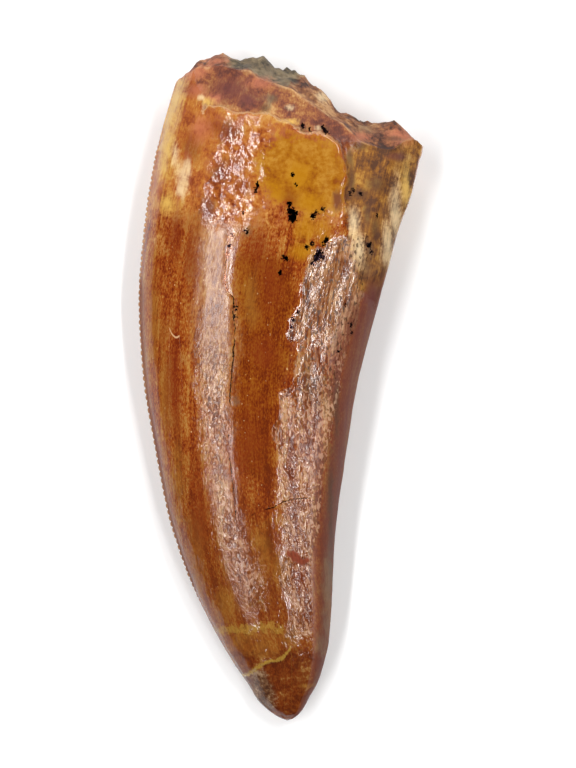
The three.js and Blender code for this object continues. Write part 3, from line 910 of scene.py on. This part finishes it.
class Fossil(Paint):
    """The one material of the tooth: enamel, bare dentine, crust and the sediment in the break."""

    def __init__(self):
        super().__init__("fossil")
        self.place = self.places("place", (1.0, 1.0, 1.0))
        self.along = self.node("ShaderNodeSeparateXYZ", {0: self.place}).outputs[1]
        self.make_noises()
        self.make_zones()
        self.make_marks()

    def make_noises(self):
        """Noises to mix the skin from, and wanderings for its borders."""
        self.streaks = self.drawn_out(0.75, 0.035, 4.0, 0.55, 0.4)
        self.fibres = self.drawn_out(4.5, 0.35, 3.0, 0.6)
        self.pits = self.drawn_out(4.4, 1.7, 3.0, 0.55, 0.5)
        self.dimples = self.drawn_out(4.4, 2.0, 0.8, 0.45, 0.9)
        self.flecks = self.drawn_out(5.2, 1.9, 2.0, 0.5, 0.4)
        self.grit = self.drawn_out(8.0, 3.0, 2.0, 0.6, 0.3)
        self.patches = self.drawn_out(0.9, 0.35, 3.0, 0.6, 0.8)
        self.mottle = self.grain(self.place, 0.5, 5.0, 0.6, 0.5)
        self.specks = self.grain(self.place, 2.6, 4.0, 0.62)
        self.wrinkles = self.grain(self.place, 2.5, 0.8, 0.4, 1.1)
        self.jag = self.centred(self.specks)
        self.blotch = self.plus(self.times(self.jag, 1.2), self.centred(self.mottle))
        self.smear = self.centred(self.mixture(specks=0.35, mottle=1.0, fibres=0.5))

    def make_zones(self):
        self.clear = self.zone("clear", -0.9, 0.9, 1.2)
        self.flake = self.zone("flake", -0.1, 0.1, 0.5)
        self.worn = self.zone("worn", -1.4, 0.9, 2.5)
        self.spall = self.zone("spall", -0.12, 0.12, 0.6)
        self.crust = self.zone("crust", -0.7, 0.7, 2.0)
        self.strip = self.zone("strip", -0.3, 0.3, 1.2)
        self.island = self.zone("island", -0.1, 0.1, 0.4)
        self.flank = self.zone("flank", -0.8, 0.4, 0.6)
        amber = self.zone("amber", -0.8, 0.6, 3.0, self.blotch)
        self.amber = self.times(amber, self.without(self.spall))
        self.neck = self.step(self.plus(self.along, self.times(self.blotch, 9.0)), *NECK_SKIN)
        self.cap = self.times(self.spall, self.past(CAP_SKIN))
        self.broken = self.step(self.field("broken"), 0.3, 0.7)

    def make_marks(self):
        """Where the spots, cracks, dashes and grain are, with the grain's ridges that take painted glints.
        """
        fuzz = self.centred(self.grain(self.place, 5.0, 2.0, 0.6))
        self.black = self.zone("spots", -0.07, 0.03, 0.7, fuzz)
        cracks = self.most(self.line("crack", 0.01, 0.09, 0.4), self.line("cross", 0.01, 0.08, 0.4))
        self.cracks = self.times(cracks, self.step(self.mottle, 0.4, 0.5))
        band = self.most(self.flake, self.times(self.worn, self.past(DASHED_WORN)))
        band = self.times(band, self.graded(DASHED_MORE, 0.35, 0.65))
        self.dashes = self.times(band, self.step(self.flecks, 0.54, 0.63))
        grainy = self.most(self.flake, self.times(self.worn, self.worn))
        grainy = self.times(grainy, self.past(GRAINY))
        grainy = self.times(grainy, self.without(self.island))
        pebbled = self.most(grainy, self.graded(PEBBLED, 0.0, 0.45))
        level = self.mixture(dimples=1.0, patches=0.8)
        self.valleys = self.times(pebbled, self.step(level, 0.5, 0.42))
        # Ridges of the grain that take a painted glint, partly worn granules.
        self.worn_ridge_glints = self.times(grainy, self.step(level, 0.52, 0.62))

    def drawn_out(self, across, down, detail, roughness, twist=0.0):
        """Noise with so many lumps to a millimetre across and down the tooth."""
        return self.grain(self.places("flow", (across, down, 1.0)), 1.0, detail, roughness, twist)

    def past(self, span):
        """0 before a span along the tooth and 1 past it."""
        return self.step(self.along, *span)

    def graded(self, span, start, rise):
        """A share that rises from its start over a span along the tooth."""
        return self.plus(start, self.times(self.past(span), rise))

    def mixture(self, **weights):
        """Several noises around one half, each with its own weight."""
        total = 0.5
        for name, weight in weights.items():
            total = self.plus(total, self.times(self.centred(getattr(self, name)), weight))
        return total

    def wandering(self, name, wander, noise):
        """A field moved about by a noise, the fine jag unless another is given."""
        return self.plus(self.field(name), self.times(noise or self.jag, wander))

    def zone(self, name, low, high, wander, noise=None):
        """1 in a zone and 0 out of it, with a wandering border."""
        return self.step(self.wandering(name, wander, noise), low, high)

    def line(self, name, thin, wide, wander, noise=None):
        """1 on a thin wandering line and 0 off it."""
        off = self.calc("ABSOLUTE", self.wandering(name, wander, noise))
        return self.without(self.step(off, thin, wide))

    def dabs(self, skin, names):
        """Lays smeared dabs of colour over a skin."""
        parts = ((self.zone(name, -0.5, 1.0, 2.6, self.smear), *TINTS[name]) for name in names)
        return self.layers(skin, *parts)

    def tint(self):
        """Colour of the whole tooth, each skin laid over the ones before it."""
        skin = self.bare_skin(self.neck_skin(self.enamel()))
        amber = self.ramp(self.mixture(mottle=0.8, specks=0.5), AMBER)
        skin = self.layers(skin, (self.amber, amber, 0.9), (self.past(LOW_SKIN), LOW_BROWN, 0.5))
        # Painted shade: the back flank darkened where it turns away from the light.
        skin = self.blend(self.flank, self.tip(skin), FLANK_PAINTED_SHADE_BROWN, 0.75)
        skin = self.dabs(skin, TINTS)
        # Painted sheen: the front rim is tinted plum in place of its reflection of the bright surroundings.
        front = self.zone("front_rim", 0.1, 0.8, 0.5)
        skin = self.layers(skin, (self.island, ISLAND_RED, 0.9), (front, FRONT_RIM_PAINTED_SHEEN, 0.6))
        return self.blend(self.broken, self.marks(skin), self.stump())

    def enamel(self):
        """Streaked enamel, deep in the clear middle, paler in the worn band, partly worn enamel and partly
        a painted sheen, with dust and pinholes.
        """
        mixed = self.mixture(streaks=0.7, mottle=0.45, patches=0.25, fibres=0.45, grit=0.8)
        skin = self.blend(self.clear, self.ramp(mixed, ENAMEL), self.ramp(mixed, CLEAR_ENAMEL))
        # Painted sheen: the worn band is laid paler, partly worn enamel and partly a painted highlight.
        worn = self.ramp(self.mixture(pits=0.5, patches=0.3), WORN_ENAMEL_AND_SHEEN)
        paler = self.times(self.worn, self.graded(WORN_PALER, 0.2, 0.45))
        dust = self.most(self.dots((2.0, 1.6, 2.0), 0.16), self.dots((0.9, 0.7, 0.9), 0.1))
        dust = self.times(dust, self.step(self.specks, 0.5, 0.62))
        pinholes = self.dots((1.3, 1.0, 1.2), 0.09)
        return self.layers(skin, (paler, worn, 1.0), (dust, DUST, 0.7), (pinholes, CRACK_DARK_AND_GAP_SHADE, 0.6))

    def neck_skin(self, skin):
        """The paler neck with its rosy patches and its wet crust."""
        neck = self.ramp(self.mixture(mottle=0.9, specks=0.4, fibres=0.3, grit=0.4), NECK)
        rosy = self.times(self.neck, self.step(self.patches, 0.5, 0.62))
        crust = self.ramp(self.mixture(specks=0.8, mottle=0.7), CRUST)
        return self.layers(skin, (self.neck, neck, 1.0), (rosy, ROSY, 0.55), (self.crust, crust, 0.7))

    def bare_skin(self, skin):
        """Bare dentine of the flake, the cap under the break and the strip at the back."""
        flake = self.ramp(self.mixture(fibres=0.6, pits=0.5, patches=0.5), BARE)
        cap = self.ramp(self.mixture(mottle=1.2, specks=0.45, grit=0.3), CAP)
        strip = self.ramp(self.mixture(fibres=0.5, mottle=1.0, specks=0.5), STRIP)
        flaked = self.times(self.flake, self.graded(BARE_PALER, 0.15, 0.55))
        spalled = self.times(self.spall, self.neck)
        return self.layers(skin, (flaked, flake, 1.0), (spalled, cap, 0.85), (self.strip, strip, 0.9))

    def tip(self, skin):
        """Darker, mottled tip below the lower healed line, chipped grey on its front."""
        blotched = self.mixture(mottle=0.9, specks=0.9, grit=0.2)
        below = self.step(self.plus(self.along, self.times(self.jag, 1.5)), *TIP_SKIN)
        chip = self.zone("chip", -0.3, 0.3, 1.4)
        skin = self.blend(below, skin, self.ramp(blotched, TIP), 0.8)
        return self.blend(chip, skin, self.ramp(blotched, CHIP), 0.8)

    def marks(self, skin):
        """Lines, painted highlights along the lip and the ledge, dashes, grain with painted glints on its
        ridges, cracks, spots, the thread, and the denticles with painted highlights on their beads and
        painted shade in their gaps.
        """
        # Painted highlights: pale lines along the break's lip and along the ledge stand in for light
        # catching these edges.
        pale = self.times(self.line("lip", 0.05, 0.25, 0.6), self.step(self.mottle, 0.4, 0.6))
        ledge_highlight = self.times(self.line("spall", 0.02, 0.16, 0.5), self.past(LEDGE_FROM))
        return self.layers(
            skin,
            (self.line("upper_band", 0.05, 0.6, 2.4), HEALED_YELLOW, 0.5),
            (self.line("lower_band", 0.1, 0.36, 1.4, self.smear), HEALED_YELLOW, 0.75),
            (pale, EDGE_HIGHLIGHT_AND_THREAD_PALE, 0.4),
            (self.times(ledge_highlight, self.past(LEDGE_TO)), EDGE_HIGHLIGHT_AND_THREAD_PALE, 0.5),
            (self.dashes, PIT_BROWN, 0.75),
            (self.valleys, VALLEY_BROWN, 0.5),
            # Painted glints on the grain's ridges, partly worn granules.
            (self.worn_ridge_glints, RIDGE_GLINT_AND_WEAR_CREAM, 0.42),
            (self.cracks, CRACK_DARK_AND_GAP_SHADE, 1.0),
            (self.black, BLACK_MINERAL, 1.0),
            (self.line("thread", 0.04, 0.13, 0.1), EDGE_HIGHLIGHT_AND_THREAD_PALE, 0.8),
            # Painted highlight on the denticle beads and painted shade in the gaps between them.
            (self.field("bead"), BEAD_HIGHLIGHT_TAN, 0.7),
            (self.field("saw"), CRACK_DARK_AND_GAP_SHADE, 0.3),
        )

    def stump(self):
        """The break: brown rock round a core of grey sediment."""
        value = self.mixture(mottle=1.1, specks=0.5)
        core = self.zone("core", -0.4, 0.4, 2.0)
        stump = self.blend(core, self.ramp(value, ROCK), self.ramp(value, SEDIMENT))
        return self.dabs(stump, ("grey", "cream", "plum", "brick", "dark"))

    def relief(self):
        """Fine grain of the skin, strong where it is worn and faint where it is clear."""
        flaked = self.times(self.flake, self.graded(FLAKE_RELIEF, 0.45, 0.65))
        worn = self.times(self.worn, self.graded(WORN_RELIEF, 0.25, 1.1))
        share = self.most(self.graded(PLAIN_RELIEF, 0.15, 0.3), self.most(flaked, worn))
        calm = self.most(self.clear, self.amber)
        share = self.times(share, self.without(self.times(calm, 0.8)))
        wet = self.plus(self.times(self.crust, 0.8), self.times(self.cap, 0.9))
        grain = self.plus(self.times(self.dimples, share), self.times(self.wrinkles, wet))
        return self.plus(grain, self.times(self.specks, self.times(self.broken, 2.0)))

    def gloss(self):
        """Roughness: varnished enamel, a milky worn band, dull edges and bare places."""
        milky = self.times(self.times(self.worn, self.past(MILKY_FROM)), self.past(MILKY_TO))
        flank = self.step(self.field("flank"), -1.1, 0.0)
        edges = self.most(flank, self.step(self.field("front_rim"), 0.3, 0.9))
        dull = ((milky, 0.16), (self.cap, 0.6), (edges, 0.6), (self.broken, 0.6), (self.strip, 0.6),
                (self.dashes, 0.4), (self.island, 0.7))
        rough = VARNISH_ROUGHNESS
        for zone, amount in dull:
            rough = self.plus(rough, self.times(zone, amount))
        return rough

    def finish(self):
        """The material, with dark mineral and cracks that send back only their own dark colour."""
        bumps = {"Strength": 1.0, "Distance": BUMP_DEPTH * MM, "Height": self.relief()}
        sources = {
            "Base Color": self.tint(),
            "Roughness": self.gloss(),
            "Normal": self.node("ShaderNodeBump", bumps).outputs[0],
            "Metallic": self.most(self.black, self.cracks),
        }
        for slot, source in sources.items():
            self.tree.links.new(source, self.shader.inputs[slot])
        self.shader.inputs["IOR"].default_value = VARNISH_IOR
        return self.material


def tooth_piece():
    tooth = Tooth()
    tooth.shape()
    piece = bpy.data.objects.new("tooth_skin", tooth.mesh())
    bpy.context.collection.objects.link(piece)
    piece.data.materials.append(Fossil().finish())
    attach(piece, "root")
    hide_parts("tooth")


def floor():
    bpy.ops.mesh.primitive_plane_add(size=4.0, location=(0, 0, 0))
    plane = bpy.context.object
    plane.name = "floor"
    paint = Paint("floor_white")
    paint.shader.inputs["Base Color"].default_value = (0.94, 0.94, 0.94, 1.0)
    paint.shader.inputs["Roughness"].default_value = 0.7
    plane.data.materials.append(paint.material)


def softbox(name, lean, shift, power, width, length):
    """A soft light facing the tooth from above, leaned and then moved along Y."""
    turn = Euler((math.radians(lean[0]), math.radians(lean[1]), 0.0))
    lamp = bpy.data.lights.new(name, "AREA")
    lamp.shape = "RECTANGLE"
    lamp.size = width
    lamp.size_y = length
    lamp.energy = power
    holder = bpy.data.objects.new(name, lamp)
    bpy.context.collection.objects.link(holder)
    away = turn.to_matrix() @ Vector((0.0, 0.0, SOFTBOX_DISTANCE))
    holder.location = away + Vector((0.0, shift, 0.0))
    holder.rotation_euler = turn


def studio():
    for name, settings in SOFTBOXES.items():
        softbox(name, *settings)
    world = bpy.data.worlds.new("studio")
    world.use_nodes = True
    background = world.node_tree.nodes["Background"]
    background.inputs["Color"].default_value = (1.0, 1.0, 1.0, 1.0)
    background.inputs["Strength"].default_value = WORLD_LIGHT
    bpy.context.scene.world = world
    bpy.context.scene.view_settings.view_transform = "Standard"


def camera():
    lens = bpy.data.cameras.new("camera")
    lens.sensor_width = 36.0
    lens.lens = lens.sensor_width * CAMERA_DISTANCE / (VIEW_HEIGHT * MM)
    lens.clip_start = 0.01
    holder = bpy.data.objects.new("camera", lens)
    bpy.context.collection.objects.link(holder)
    holder.location = Vector(CAMERA_AIM) * MM + Vector((0.0, 0.0, CAMERA_DISTANCE))
    bpy.context.scene.camera = holder


tooth_piece()
floor()
studio()
camera()
